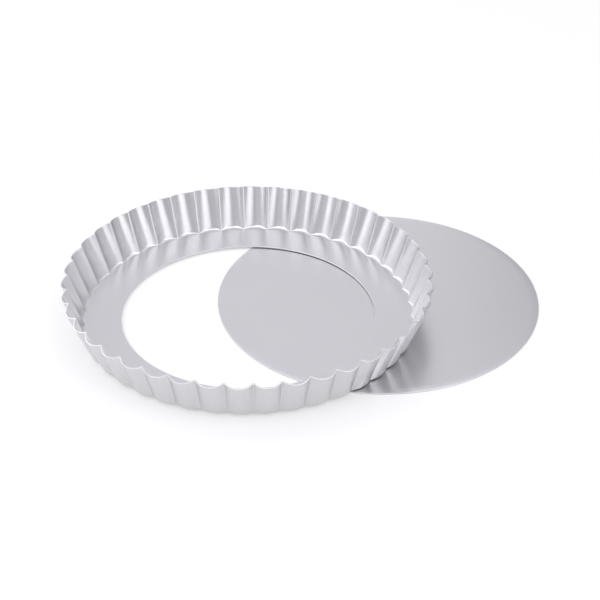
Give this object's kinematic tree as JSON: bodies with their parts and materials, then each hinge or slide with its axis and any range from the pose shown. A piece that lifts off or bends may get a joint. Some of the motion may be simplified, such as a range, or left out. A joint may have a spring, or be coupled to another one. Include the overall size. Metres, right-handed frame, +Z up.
{
  "type": "tart pan",
  "caption": "Fluted tart pan in two loose pieces: a ring with scalloped sloping sides and a flat inner ledge, and a flat round base that slides out from under it.",
  "frame": {"origin": "on the work surface, under the middle of the whole arrangement", "axes": "+X from the ring's centre to the base disc's centre, +Z up, +Y completes a right-handed set"},
  "size_m": [0.3133, 0.2396, 0.0308],
  "materials": {
    "ring_aluminium": "satin pressed sheet",
    "base_aluminium": "satin rolled sheet"
  },
  "bodies": {
    "ring": {"fluted_ring": "ring_aluminium"},
    "base": {"loose_base": "base_aluminium"}
  },
  "joints": [
    {"name": "base_slide", "type": "slide", "parent": "ring", "child": "base", "axis": [1, 0, 0], "range_m": [-0.0875, 0.145]}
  ]
}
